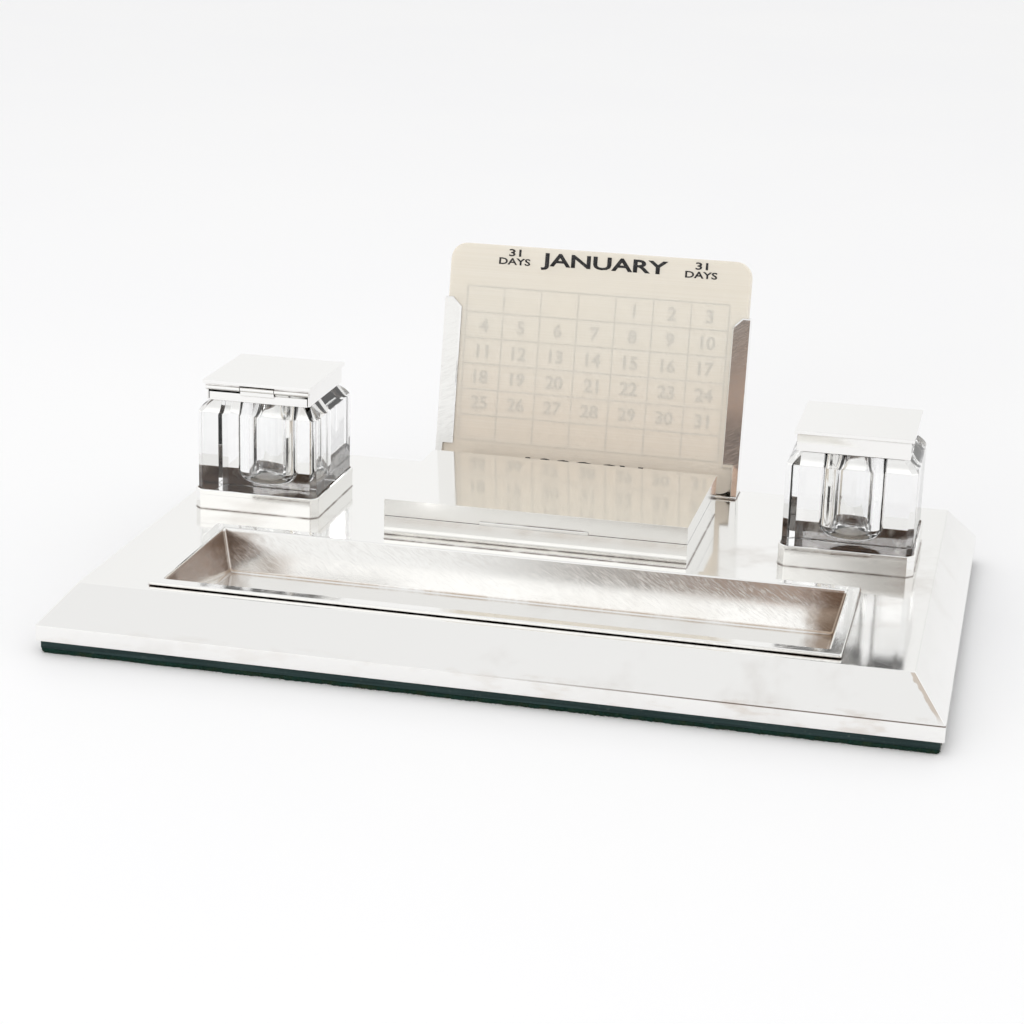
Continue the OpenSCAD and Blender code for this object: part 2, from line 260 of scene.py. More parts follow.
def socket_finish(name, centres, half, cut):
    """Silver outside and pale brown stain on the faces that the glass covers."""
    def stained(f, colour):
        inside = None
        for centre in centres:
            away = f.add("ShaderNodeVectorMath", operation="SUBTRACT")
            f.link(f.place, away.inputs[0])
            away.inputs[1].default_value = centre
            parts = f.parts(away.outputs[0])
            across = f.math("ABSOLUTE", parts["X"])
            along = f.math("ABSOLUTE", parts["Y"])
            flat = f.math("LESS_THAN", f.math("MAXIMUM", across, along), half)
            corner = f.math("LESS_THAN", f.math("ADD", across, along), 2 * half - cut)
            near = f.product(flat, corner)
            inside = near if inside is None else f.math("MAXIMUM", inside, near)
        f.link(f.math("SUBTRACT", 1.0, inside), f.shader.inputs["Metallic"])
        clouds = f.between(f.noise(160, detail=4.0), 0.35, 0.7)
        return f.mix(inside, colour, f.mix(clouds, (0.94, 0.86, 0.76, 1), (0.985, 0.94, 0.87, 1)))
    return silver_finish(name, rough=0.08, seam=1.0, coat=stained)


def glass_finish():
    f = Finish("cut_glass", Roughness=0.0, IOR=1.51, Transmission_Weight=1.0)
    f.colour(f.mix(f.between(f.noise(35), 0.3, 0.7), (0.985, 0.99, 0.99, 1), (1, 1, 1, 1)))
    f.bump((f.noise(45, detail=1.0), 0.05 * MM), (f.noise(900, detail=2.0), 0.0004 * MM))
    return f.material


def celluloid_finish(name, solid=1.0, warm_foot=0.0):
    """Ivory celluloid with fine level grain. solid is how much of what is behind it is hidden."""
    f = Finish(name, IOR=1.5, Coat_Weight=0.2, Coat_Roughness=0.12, Alpha=solid)
    grain = f.noise(1.0, detail=3.0, place=f.stretched((7, 40, 2600)))
    cloud = f.noise(30, detail=3.0)
    tone = f.mix(f.between(grain, 0.36, 0.64), (0.945, 0.90, 0.81, 1), (0.915, 0.865, 0.765, 1))
    tone = f.mix(f.between(cloud, 0.4, 0.75, 0.0, 0.4), tone, (0.92, 0.86, 0.75, 1))
    foot = f.between(f.parts()["Z"], 0.045, 0.09, warm_foot, 0.0)
    f.colour(f.mix(foot, tone, (0.93, 0.74, 0.58, 1)))
    f.rough(f.between(cloud, 0.3, 0.7, 0.3, 0.42))
    f.bump((grain, 0.004 * MM), (f.noise(1400), 0.002 * MM))
    return f.material


def ink_finish(name, colour, worn):
    """Printing ink, thinner here and there."""
    f = Finish(name)
    thin = f.between(f.noise(1900, detail=4.0), 0.5, 0.72)
    f.colour(f.mix(f.product(thin, worn), colour, (0.3, 0.28, 0.25, 1)))
    f.rough(f.between(f.noise(900), 0.3, 0.7, 0.35, 0.6))
    f.bump((thin, 0.002 * MM))
    return f.material


def shaded(colour, share):
    return tuple(c * share for c in colour[:3]) + (1,)


def wood_finish(name, light, dark, along, rings=34.0, rough=0.5):
    """Wood with growth rings stretched along one axis and open pores."""
    f = Finish(name)
    scale = [1.0, 1.0, 1.0]
    scale[along] = 0.06
    place = f.stretched(scale)
    bend = f.noise(rings, detail=3.0, place=place, distortion=0.6)
    bands = f.math("FRACT", f.math("MULTIPLY", bend, 9.0))
    fine = [1400.0, 1400.0, 1400.0]
    fine[along] = 45.0
    pores = f.noise(1.0, detail=3.0, place=f.stretched(fine))
    tone = f.mix(f.between(bands, 0.1, 0.95), light, dark)
    f.colour(f.mix(f.between(pores, 0.55, 0.75, 0.0, 0.7), tone, shaded(dark, 0.45)))
    f.rough(f.between(pores, 0.3, 0.7, rough, rough + 0.2))
    f.bump((bands, 0.02 * MM), (pores, 0.03 * MM))
    return f.material


def baize_finish(name, low, high, cloud):
    """Woollen baize: a felted nap that hides its weave."""
    f = Finish(name, Sheen_Weight=0.1, Sheen_Roughness=0.5, Specular_IOR_Level=0.1)
    f.shader.inputs["Sheen Tint"].default_value = (0.3, 0.5, 0.4, 1)
    nap = f.noise(1700, detail=5.0, roughness=0.7)
    patches = f.noise(140, detail=4.0)
    tone = f.mix(f.between(nap, 0.3, 0.7), low, high)
    f.colour(f.mix(f.between(patches, 0.42, 0.7, 0.0, 0.8), tone, cloud))
    f.rough(f.between(nap, 0.3, 0.7, 0.85, 1.0))
    f.bump((nap, 0.25 * MM))
    return f.material


def board_finish():
    """Stained board edge: blue-black stain, rubbed and a little dusty."""
    f = Finish("stained_board", Specular_IOR_Level=0.15)
    grain = f.noise(1.0, detail=4.0, place=f.stretched((30, 30, 1500)))
    specks = f.noise(900, detail=4.0, roughness=0.7)
    tone = f.mix(f.between(grain, 0.3, 0.7), (0.012, 0.026, 0.026, 1), (0.03, 0.053, 0.053, 1))
    f.colour(f.mix(f.between(specks, 0.58, 0.78, 0.0, 0.6), tone, (0.12, 0.14, 0.12, 1)))
    f.rough(f.between(grain, 0.3, 0.7, 0.55, 0.8))
    f.bump((grain, 0.05 * MM), (specks, 0.06 * MM))
    return f.material


def leather_finish():
    f = Finish("pad_leather", Coat_Weight=0.5, Coat_Roughness=0.25)
    grain = f.noise(900, detail=4.0, roughness=0.6)
    cloud = f.noise(90, detail=3.0)
    f.colour(f.mix(f.between(cloud, 0.35, 0.7), (0.56, 0.49, 0.41, 1), (0.66, 0.59, 0.5, 1)))
    f.rough(f.between(grain, 0.3, 0.7, 0.35, 0.6))
    f.bump((grain, 0.06 * MM))
    return f.material


def metal_finish(name, colour, rough):
    """Turned or drawn metal with fine rings."""
    f = Finish(name, Metallic=1.0)
    turned = f.noise(1.0, detail=3.0, place=f.stretched((4000, 300, 300)))
    f.colour(f.mix(f.between(f.noise(400, detail=3.0), 0.4, 0.8), colour, shaded(colour, 0.6)))
    f.rough(f.between(turned, 0.3, 0.7, rough, rough + 0.15))
    f.bump((turned, 0.004 * MM))
    return f.material


def floor_finish():
    f = Finish("pale_floor")
    cloud = f.between(f.noise(3, detail=3.0), 0.3, 0.7)
    f.colour(f.mix(cloud, (0.945, 0.945, 0.955, 1), (0.955, 0.955, 0.96, 1)))
    f.rough(0.6)
    f.bump((f.noise(600, detail=3.0), 0.01 * MM))
    return f.material


# ---------------------------------------------------------------- mesh helpers

def fillet(points, radius, steps=3):
    """A closed 2D outline with each corner replaced by an arc. radius is one number or one per corner."""
    out = []
    count = len(points)
    for i, corner in enumerate(points):
        r = radius[i] if isinstance(radius, (list, tuple)) else radius
        before, after = Vector(points[i - 1]), Vector(points[(i + 1) % count])
        corner = Vector(corner)
        a, b = (before - corner), (after - corner)
        angle = a.angle(b)
        if r <= 0 or angle > math.pi - 1e-3:
            out.append(tuple(corner))
            continue
        reach = min(r / math.tan(angle / 2), a.length * 0.49, b.length * 0.49)
        r = reach * math.tan(angle / 2)
        centre = corner + (a.normalized() + b.normalized()).normalized() * (r / math.sin(angle / 2))
        start, end = corner + a.normalized() * reach - centre, corner + b.normalized() * reach - centre
        turn = start.angle_signed(end)
        for k in range(steps + 1):
            s = -turn * k / steps
            out.append((centre.x + start.x * math.cos(s) - start.y * math.sin(s),
                        centre.y + start.x * math.sin(s) + start.y * math.cos(s)))
    return out


def rectangle(half_x, half_y, corner, steps=4):
    """Points round a rectangle with round corners, the same number for every size."""
    points = []
    for sx, sy, start in ((1, -1, -90), (1, 1, 0), (-1, 1, 90), (-1, -1, 180)):
        x, y = sx * (half_x - corner), sy * (half_y - corner)
        for k in range(steps + 1):
            a = math.radians(start + 90 * k / steps)
            points.append((x + corner * math.cos(a), y + corner * math.sin(a)))
    return points


def cut_square(half, cut, edge=0.35 * MM, parts=10, steps=3):
    """Points round a square with cut corners, eased edges and each long side in equal parts."""
    k = half - cut
    eight = [(k, -half), (half, -k), (half, k), (k, half), (-k, half), (-half, k), (-half, -k), (-k, -half)]
    eased = fillet(eight, edge, steps)
    points = []
    for i, p in enumerate(eased):
        q = eased[(i + 1) % len(eased)]
        points.append(p)
        if math.dist(p, q) > half:
            step = ((q[0] - p[0]) / parts, (q[1] - p[1]) / parts)
            points += [(p[0] + step[0] * t, p[1] + step[1] * t) for t in range(1, parts)]
    return points


def ring_at(outline, z, centre=(0.0, 0.0)):
    return [Vector((centre[0] + x, centre[1] + y, z)) for x, y in outline]


def mesh_object(name, bm):
    bmesh.ops.recalc_face_normals(bm, faces=bm.faces)
    mesh = bpy.data.meshes.new(name)
    bm.to_mesh(mesh)
    bm.free()
    piece = bpy.data.objects.new(name, mesh)
    bpy.context.scene.collection.objects.link(piece)
    return piece


def smooth(piece, angle=40):
    """Smooth shading that keeps flat faces flat."""
    mesh = piece.data
    mesh.shade_smooth()
    mesh.set_sharp_from_angle(angle=math.radians(angle))
    weighted = piece.modifiers.new("flat_faces", "WEIGHTED_NORMAL")
    weighted.keep_sharp = True
    weighted.weight = 80
    return piece


def loft(name, rings, closed=False, cap_first=False, cap_last=False):
    """A skin over rings of equal length. A closed loft joins its last ring to its first."""
    bm = bmesh.new()
    loops = [[bm.verts.new(p) for p in ring] for ring in rings]
    count = len(loops[0])
    pairs = list(zip(loops, loops[1:])) + ([(loops[-1], loops[0])] if closed else [])
    for low, high in pairs:
        for i in range(count):
            j = (i + 1) % count
            bm.faces.new((low[i], low[j], high[j], high[i]))
    if cap_first:
        bm.faces.new(reversed(loops[0]))
    if cap_last:
        bm.faces.new(loops[-1])
    return mesh_object(name, bm)


def finish_piece(piece, node, material):
    """Gives a piece its material, and the body of the CAD node that it belongs to."""
    piece.data.materials.clear()
    piece.data.materials.append(material)
    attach(piece, body_of_node[node])
    return piece


def cad_copy(node):
    """A CAD node's mesh with its flat faces whole again."""
    bm = bmesh.new()
    bm.from_mesh(nodes[node].data)
    bmesh.ops.remove_doubles(bm, verts=bm.verts, dist=0.002 * MM)
    bmesh.ops.dissolve_limit(bm, angle_limit=math.radians(0.4), verts=bm.verts, edges=bm.edges)
    return bm


def outer_edges(bm, angle):
    """The edges that stick out by more than angle, in degrees."""
    least = math.radians(angle)
    return [e for e in bm.edges if e.is_manifold and e.is_convex and e.calc_face_angle() > least]


def bevel(bm, edges, width, segments):
    bmesh.ops.bevel(bm, geom=edges, offset=width, offset_type="OFFSET", segments=segments, profile=0.5,
                    affect="EDGES", clamp_overlap=True)


def rounded_copy(node, material, width, segments=3):
    """A copy of a CAD node with its outer edges rounded, which stands for the node."""
    bm = cad_copy(node)
    bevel(bm, outer_edges(bm, 25), width, segments)
    piece = smooth(mesh_object(node + "_shape", bm))
    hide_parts(node)
    return finish_piece(piece, node, material)


# ---------------------------------------------------------------- base

def build_base(silver, core_wood, board, baize, fibre, brass):
    low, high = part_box("base_shell")
    tray_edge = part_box("pen_tray")[1].x
    sheet = high.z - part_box("wood_core")[1].z
    # the sloping border's corners, read off the CAD skin
    flat = [v.co for v in nodes["base_shell"].data.vertices if abs(v.co.z - high.z) < 0.01 * MM]
    run = high.x - max(v.x for v in flat)
    sides = [v.co.z for v in nodes["base_shell"].data.vertices if abs(v.co.x - high.x) < 0.01 * MM]
    apron_top = max(sides)
    pocket = [v for v in flat if abs(v.x) < tray_edge - 0.5 * MM]
    pocket_x = max(v.x for v in pocket)
    pocket_y0, pocket_y1 = min(v.y for v in pocket), max(v.y for v in pocket)
    pocket_y = (pocket_y1 - pocket_y0) / 2
    pocket_mid = (0.0, (pocket_y0 + pocket_y1) / 2)
    half_x, half_y = high.x, high.y
    soft = 0.55 * MM
    outside = [(sheet, low.z), (0.0, low.z), (0.0, apron_top), (run, high.z), (run + 1.3 * MM, high.z)]
    profile = fillet(outside, [0, 0.25 * MM, soft, soft, 0], steps=4)
    rings = [ring_at(rectangle(half_x - inset, half_y - inset, 0.7 * MM), z) for inset, z in profile]
    lip = fillet([(1.2 * MM, high.z), (0.0, high.z), (0.0, high.z - sheet), (1.2 * MM, high.z - sheet)],
                 [0, 0.3 * MM, 0.3 * MM, 0], steps=3)
    for out, z in lip:
        rings.append(ring_at(rectangle(pocket_x + out, pocket_y + out, 0.6 * MM + out), z, pocket_mid))
    rings += [ring_at(rectangle(half_x - run - sheet, half_y - run - sheet, 0.5 * MM), high.z - sheet),
              ring_at(rectangle(half_x - sheet, half_y - sheet, 0.5 * MM), apron_top - 0.4 * MM)]
    shell = smooth(loft("base_silver_skin", rings, closed=True), 50)
    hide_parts("base_shell")
    finish_piece(shell, "base_shell", silver)

    rounded_copy("wood_core", core_wood, 0.2 * MM, segments=1)
    rounded_copy("base_board", board, 0.5 * MM, segments=3)
    rounded_copy("board_screws", brass, 0.15 * MM, segments=2)
    build_baize(baize, fibre)


def build_baize(material, fibre_material):
    """The baize sheet, with a ragged edge and loose fibres along it."""
    low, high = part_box("baize")
    rng = random.Random(11)
    half_x, half_y = high.x - 0.1 * MM, high.y - 0.1 * MM
    rim = rectangle(half_x, half_y, 1.8 * MM, steps=6)
    outline = []
    for i, p in enumerate(rim):
        q = rim[(i + 1) % len(rim)]
        parts = max(1, int(math.dist(p, q) / (0.8 * MM)))
        outline += [Vector(p).lerp(Vector(q), k / parts) for k in range(parts)]
    bites = [rng.uniform(-0.3, 0.3) for _ in outline]
    waves = [sum(bites[i - k] for k in range(5)) / 5 for i in range(len(bites))]
    rings = []
    for z, pull in ((low.z, 0.3), (high.z * 0.3, 0.0), (high.z * 0.75, 0.0), (high.z, 0.35)):
        ring = []
        for p, bite, wave in zip(outline, bites, waves):
            ragged = (bite * 0.9 + wave * 2.6 + rng.uniform(-0.2, 0.2)) * MM
            scale = 1 - (pull * MM - ragged) / p.length
            ring.append(Vector((p.x * scale, p.y * scale, z)))
        rings.append(ring)
    sheet = loft("baize_sheet", rings, cap_first=True, cap_last=True)
    smooth(sheet, 60)
    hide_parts("baize")
    finish_piece(sheet, "baize", material)

    bm = bmesh.new()
    for _ in range(9000):
        i = rng.randrange(len(outline))
        root, after = Vector((*outline[i], 0)), Vector((*outline[(i + 1) % len(outline)], 0))
        along = (after - root).normalized()
        out = Vector((along.y, -along.x, 0))
        root = root.lerp(after, rng.random()) - out * 0.25 * MM
        root.z = (0.05 + 0.85 * rng.random() ** 1.6) * high.z
        length = rng.uniform(0.45, 1.2) * MM
        lean = along * rng.uniform(-1.2, 1.2) + Vector((0, 0, rng.uniform(-0.8, 0.35)))
        tip = root + (out + lean).normalized() * length
        middle = root.lerp(tip, 0.5) + Vector((0, 0, rng.uniform(0.0, 0.16) * MM))
        for p in (tip, middle):
            p.z = min(max(p.z, 0.02 * MM), high.z + 0.3 * MM)
        thick = rng.uniform(0.03, 0.06) * MM
        across = along * thick
        up = Vector((0, 0, thick))
        v = [bm.verts.new(q) for q in (root - across, root + across, root + up,
                                       middle - across, middle + across, middle + up, tip)]
        for face in ((0, 1, 4, 3), (1, 2, 5, 4), (2, 0, 3, 5), (3, 4, 6), (4, 5, 6), (5, 3, 6), (0, 2, 1)):
            bm.faces.new([v[i] for i in face])
    fibres = mesh_object("baize_fibres", bm)
    finish_piece(fibres, "baize", fibre_material)


# ---------------------------------------------------------------- pen tray

def build_tray(silver):
    low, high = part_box("pen_tray")
    mid = ((low.x + high.x) / 2, (low.y + high.y) / 2)
    half_x, half_y = (high.x - low.x) / 2, (high.y - low.y) / 2
    verts = [v.co for v in nodes["pen_tray"].data.vertices]
    heights = sorted({round(v.z, 5) for v in verts})
    under, floor = heights[0], heights[1]
    rim_under = min(v.z for v in verts if abs(v.x - high.x) < 0.01 * MM)
    top_inner = max(v.x for v in verts if abs(v.z - high.z) < 0.01 * MM and v.x < high.x - 0.5 * MM)
    floor_inner = max(v.x for v in verts if abs(v.z - floor) < 0.02 * MM)
    under_outer = max(v.x for v in verts if abs(v.z - under) < 0.02 * MM)
    inner = high.x - top_inner
    wall = high.x - floor_inner
    below = high.x - under_outer
    slope = (wall - inner) / (high.z - floor)
    neck = below - slope * (rim_under - under)
    upper = [(0.0, rim_under), (0.0, high.z), (inner, high.z), (wall, floor), (wall + 6 * MM, floor)]
    upper = fillet(upper, [0.2 * MM, 0.45 * MM, 0.7 * MM, 1.5 * MM, 0], steps=8)
    lower = [(below + 6 * MM, under), (below, under), (neck, rim_under), (0.0, rim_under)]
    lower = fillet(lower, [0, 1.4 * MM, 0.3 * MM, 0], steps=4)[:-1]
    corner = 0.9 * MM
    rings = [ring_at(rectangle(half_x - inset, half_y - inset, corner), z, mid) for inset, z in lower + upper]
    # the rim all but rests on the base behind, and leaves a dark gap in front
    base_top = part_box("base_shell")[1].z
    gap_behind, gap_in_front = 0.08 * MM, 0.42 * MM
    for point in (p for ring in rings for p in ring):
        if abs(point.z - rim_under) < 0.25 * MM:
            point.z += base_top + (gap_behind if point.y > mid[1] else gap_in_front) - rim_under
    tray = loft("pen_tray_silver", rings, cap_first=True, cap_last=True)
    smooth(tray, 50)
    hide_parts("pen_tray")
    finish_piece(tray, "pen_tray", silver)


# ---------------------------------------------------------------- inkwells

# how far a cut corner of the glass takes off each side, and how a cut shrinks as its square does
GLASS_CUT = 2.2 * MM
CUT_SHRINK = 0.59


def build_socket(side, silver):
    """An open square frame with a narrow lip round its upper edge."""
    node = side + "_socket"
    low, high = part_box(node)
    centre = ((low.x + high.x) / 2, (low.y + high.y) / 2)
    pad_low, pad_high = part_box(side + "_pad")
    lip = 0.15 * MM
    half = (high.x - low.x) / 2
    inner = (pad_high.x - pad_low.x) / 2 + 0.2 * MM
    wall = half - lip - inner
    cut = 2.7 * MM
    band = high.z - 2.0 * MM
    inside = wall + lip
    profile = [(lip, low.z), (lip, band), (0.0, band), (0.0, high.z), (inside, high.z), (inside, low.z)]
    eased = fillet(profile, [0, 0.07 * MM, 0.07 * MM, 0.22 * MM, 0.22 * MM, 0], steps=3)
    rings = []
    for inset, z in eased:
        outline = cut_square(half - inset, cut - inset * CUT_SHRINK, edge=0.45 * MM)
        rings.append(ring_at(outline, z, centre))
    socket = smooth(loft(node + "_silver", rings, closed=True), 60)
    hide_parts(node)
    finish_piece(socket, node, silver)


def build_pad(side, leather):
    node = side + "_pad"
    low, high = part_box(node)
    centre = ((low.x + high.x) / 2, (low.y + high.y) / 2)
    half = (high.x - low.x) / 2
    edge = [(6 * MM, low.z), (0.0, low.z), (0.0, high.z), (6 * MM, high.z)]
    profile = fillet(edge, [0, 0.1 * MM, 0.3 * MM, 0])
    rings = [ring_at(cut_square(half - inset, GLASS_CUT), z, centre) for inset, z in profile]
    pad = smooth(loft(node + "_leather", rings, cap_first=True, cap_last=True))
    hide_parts(node)
    finish_piece(pad, node, leather)


def circle_like(outline, radius):
    """Points on a circle, at the angles of an outline's points."""
    return [(radius * x / math.hypot(x, y), radius * y / math.hypot(x, y)) for x, y in outline]


def build_glass(side, glass):
    """Cut glass block: eased vertical edges, a slightly rounded shoulder and a round-bottomed well."""
    node = side + "_glass"
    low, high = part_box(node)
    centre = ((low.x + high.x) / 2, (low.y + high.y) / 2)
    half = (high.x - low.x) / 2
    verts = [v.co - Vector((*centre, 0)) for v in nodes[node].data.vertices]
    top = [v for v in verts if abs(v.z - high.z) < 0.01 * MM]
    neck = max(abs(v.x) for v in top)
    well = min(math.hypot(v.x, v.y) for v in top)
    well_floor = min(v.z for v in verts if math.hypot(v.x, v.y) < well * 0.9 and v.z > low.z + 1 * MM)
    shoulder = max(v.z for v in verts if abs(abs(v.x) - half) < 0.01 * MM)
    inset_neck = half - neck
    drop = high.z - shoulder
    # the shoulder starts almost upright and leans in more as it rises
    parts = 7
    bulge = [(inset_neck * (k / parts) ** 1.45, shoulder + drop * k / parts) for k in range(1, parts)]
    # a thin film of air under the block lets its underside mirror what is above
    foot = low.z + 0.06 * MM
    profile = [(8 * MM, foot), (0.0, foot), (0.0, shoulder)] + bulge + [(inset_neck, high.z), (half, high.z)]
    eased = fillet(profile, [0, 0.3 * MM] + [0] * parts + [0.35 * MM, 0], steps=3)[:-1]
    rings = [ring_at(cut_square(half - inset, GLASS_CUT, edge=0.4 * MM), z, centre) for inset, z in eased]
    outline = cut_square(neck, GLASS_CUT, edge=0.4 * MM)
    round_r = 5.0 * MM
    rim = [(well + 3 * MM, high.z), (well, high.z), (well, high.z - 5 * MM)]
    mouth = fillet(rim, [0, 0.4 * MM, 0], steps=3)[1:-1]
    rings += [ring_at(circle_like(outline, r), z, centre) for r, z in mouth]
    for k in range(0, 9):
        a = math.radians(90 * k / 8)
        r = well - round_r + round_r * math.cos(a)
        z = well_floor + round_r - round_r * math.sin(a)
        rings.append(ring_at(circle_like(outline, r), z, centre))
    rings.append(ring_at(circle_like(outline, (well - round_r) * 0.5), well_floor, centre))
    block = loft(node + "_block", rings, cap_first=True, cap_last=True)
    smooth(block, 60)
    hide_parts(node)
    finish_piece(block, node, glass)


def build_inkwells(silver, socket_silver, glass, leather, steel):
    for side in ("left", "right"):
        build_socket(side, socket_silver)
        build_pad(side, leather)
        build_glass(side, glass)
        rounded_copy(side + "_collar", silver, 0.2 * MM, segments=2)
        rounded_copy(side + "_lid", silver, 0.3 * MM, segments=3)
        rounded_copy(side + "_hinge_pin", steel, 0.12 * MM, segments=2)


# ---------------------------------------------------------------- box

def build_box(silver, cedar, steel):
    rounded_copy("box_body", silver, 0.3 * MM, segments=3)
    rounded_copy("box_lid", silver, 0.35 * MM, segments=3)
    rounded_copy("box_lining", cedar, 0.3 * MM, segments=2)
    rounded_copy("box_thumb_strip", silver, 0.25 * MM, segments=3)
    rounded_copy("box_hinge_pin", steel, 0.15 * MM, segments=2)


# ---------------------------------------------------------------- calendar

# the way the cards slide, up along the rails, and the way that their fronts face
slope = Vector(joints["month_card_lift"]["axis"]).normalized()
facing = Vector((0, -slope.z, slope.y))


def build_rail(node, silver):
    """A rail whose turned-in front flange has a narrow bright bevel along its edges."""
    toward_cards = -1 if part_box(node)[0].x > 0 else 1
    bm = cad_copy(node)
    edges = []
    for e in outer_edges(bm, 25):
        normals = [f.normal for f in e.link_faces]
        front = any(n.dot(facing) > 0.99 for n in normals)
        inward = any(n.x * toward_cards > 0.3 or n.z > 0.3 and abs(n.dot(facing)) < 0.5 for n in normals)
        if front and inward:
            edges.append(e)
    bevel(bm, edges, 0.6 * MM, 1)
    bevel(bm, outer_edges(bm, 50), 0.15 * MM, 2)
    rail = smooth(mesh_object(node + "_silver", bm), 30)
    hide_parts(node)
    finish_piece(rail, node, silver)


class CardFace:
    """The front face of a leaning card: (x, up the slope, out of the face) to the row frame."""

    def __init__(self, node):
        low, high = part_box(node)
        sin, cos = slope.y, slope.z
        depth, height = high.y - low.y, high.z - low.z
        spread = cos * cos - sin * sin
        self.length = (height * cos - depth * sin) / spread
        self.thick = (depth * cos - height * sin) / spread
        self.half = high.x
        top = Vector((0, high.y - self.thick * cos, high.z))
        self.foot = top - slope * self.length

    def matrix(self, x, up, out=0.0, turn=0.0):
        """Places a flat shape drawn in its own XY plane on the face."""
        place = self.foot + Vector((x, 0, 0)) + slope * up + facing * out
        across = Vector((1, 0, 0))
        base = Matrix((across, slope, facing)).transposed().to_4x4()
        return Matrix.Translation(place) @ base @ Matrix.Rotation(turn, 4, "Z")


def build_card(node, material, back_material=None):
    """A celluloid card with round corners and a softly worn edge, and a second material on its back."""
    face = CardFace(node)
    half_h = face.length / 2
    soft = 0.22 * MM
    corner = 7 * MM
    edge = [(8 * MM, 0.0), (0.0, 0.0), (0.0, -face.thick), (8 * MM, -face.thick)]
    place = face.matrix(0, half_h)
    rings = []
    for inset, out in fillet(edge, [0, soft, soft, 0], steps=3):
        outline = rectangle(face.half - inset, half_h - inset, max(corner - inset, 0.2 * MM), steps=12)
        rings.append([place @ Vector((x, y, out)) for x, y in outline])
    card = smooth(loft(node + "_celluloid", rings, cap_first=True, cap_last=True))
    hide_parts(node)
    finish_piece(card, node, material)
    if back_material:
        card.data.materials.append(back_material)
        for polygon in card.data.polygons:
            if polygon.normal.dot(facing) < -0.9:
                polygon.material_index = 1
    return face


# how far printing stands off the card
INK_GAP = 0.02 * MM


def lettering(name, words, node, material, bold):
    """One mesh of printed words. Each word is (text, height of its letters, matrix, width or None)."""
    bm = bmesh.new()
    for text, height, place, width in words:
        curve = bpy.data.curves.new(name, "FONT")
        curve.body = text
        curve.align_x = "CENTER"
        curve.size = 1.0
        curve.offset = bold
        curve.resolution_u = 3
        holder = bpy.data.objects.new(name, curve)
        bpy.context.scene.collection.objects.link(holder)
        bpy.context.view_layer.update()
        mesh = bpy.data.meshes.new_from_object(holder.evaluated_get(bpy.context.evaluated_depsgraph_get()))
        xs, ys = [v.co.x for v in mesh.vertices], [v.co.y for v in mesh.vertices]
        tall, wide = max(ys) - min(ys), max(xs) - min(xs)
        grow_y = height / tall
        grow_x = width / wide if width else grow_y
        middle = Vector(((max(xs) + min(xs)) / 2, (max(ys) + min(ys)) / 2, 0))
        for v in mesh.vertices:
            v.co = Vector(((v.co.x - middle.x) * grow_x, (v.co.y - middle.y) * grow_y, 0))
        mesh.transform(place)
        bm.from_mesh(mesh)
        bpy.data.objects.remove(holder)
        bpy.data.curves.remove(curve)
        bpy.data.meshes.remove(mesh)
    ink_layer(mesh_object(name, bm), node, material, 0.02 * MM)


def ink_layer(piece, node, material, depth):
    thick = piece.modifiers.new("ink_layer", "SOLIDIFY")
    thick.thickness = depth
    thick.offset = 0.0
    finish_piece(piece, node, material)


def heading(face, text, days, turned):
    """A month heading, upright at the top of the card or turned upside down at its foot."""
    turn = math.pi if turned else 0.0
    side = -1 if turned else 1
    nearer = 0.8 * MM if turned else 0.0

    def spot(x, below_edge):
        up = below_edge - nearer if turned else face.length - below_edge
        return face.matrix(side * x, up, INK_GAP, turn)

    words = [(text, 7.2 * MM, spot(2.0 * MM, 5.6 * MM), 54.5 * MM)]
    for x in (-36.6 * MM, 43.4 * MM):
        words.append((days, 3.1 * MM, spot(x, 2.9 * MM), 5.3 * MM))
        words.append(("DAYS", 2.9 * MM, spot(x, 6.6 * MM), 13.6 * MM))
    return words


def print_dates(face, ink):
    """The month's grid with its numbers, the first of them in the fifth column."""
    columns, rows = 7, 6
    pitch_x, pitch_y = 16.1 * MM, 11.0 * MM
    first_column, days = 4, 31
    top = face.length - 18.1 * MM
    bottom = top - rows * pitch_y
    left = -columns * pitch_x / 2
    numbers = []
    for day in range(1, days + 1):
        spot = first_column + day - 1
        x = left + (spot % columns + 0.5) * pitch_x
        up = top - (spot // columns + 0.5) * pitch_y
        numbers.append((str(day), 5.9 * MM, face.matrix(x, up, INK_GAP), None))
    lettering("date_numbers", numbers, "date_card", ink, bold=0.03)

    bm = bmesh.new()
    line = 0.28 * MM

    def bar(x0, x1, y0, y1, out):
        corners = [(x0, y0), (x1, y0), (x1, y1), (x0, y1)]
        bm.faces.new([bm.verts.new(face.matrix(x, y, out).translation) for x, y in corners])

    for i in range(columns + 1):
        x = left + i * pitch_x
        bar(x - line, x + line, top, bottom, INK_GAP)
    for j in range(rows + 1):
        y = top - j * pitch_y
        bar(left, -left, y - line, y + line, 1.3 * INK_GAP)
    ink_layer(mesh_object("date_grid_lines", bm), "date_card", ink, 0.01 * MM)


def build_calendar(silver):
    rounded_copy("calendar_foot", silver, 0.25 * MM, segments=3)
    build_rail("left_rail", silver)
    build_rail("right_rail", silver)
    front = celluloid_finish("front_celluloid", 0.68, warm_foot=0.15)
    back = celluloid_finish("back_celluloid", 0.04)
    face = build_card("month_card", front, back)
    black = ink_finish("black_ink", (0.006, 0.006, 0.008, 1), 0.25)
    lettering("month_heading", heading(face, "JANUARY", "31", False), "month_card", black, bold=0.025)
    lettering("month_heading_reversed", heading(face, "AUGUST", "31", True), "month_card", black, bold=0.025)

    date_face = build_card("date_card", celluloid_finish("date_celluloid", warm_foot=0.6))
    plain = celluloid_finish("card_celluloid")
    for i in (1, 2, 3):
        build_card(f"spare_card_{i}", plain)
    print_dates(date_face, ink_finish("date_ink", (0.04, 0.075, 0.095, 1), 0.3))


# ---------------------------------------------------------------- stage

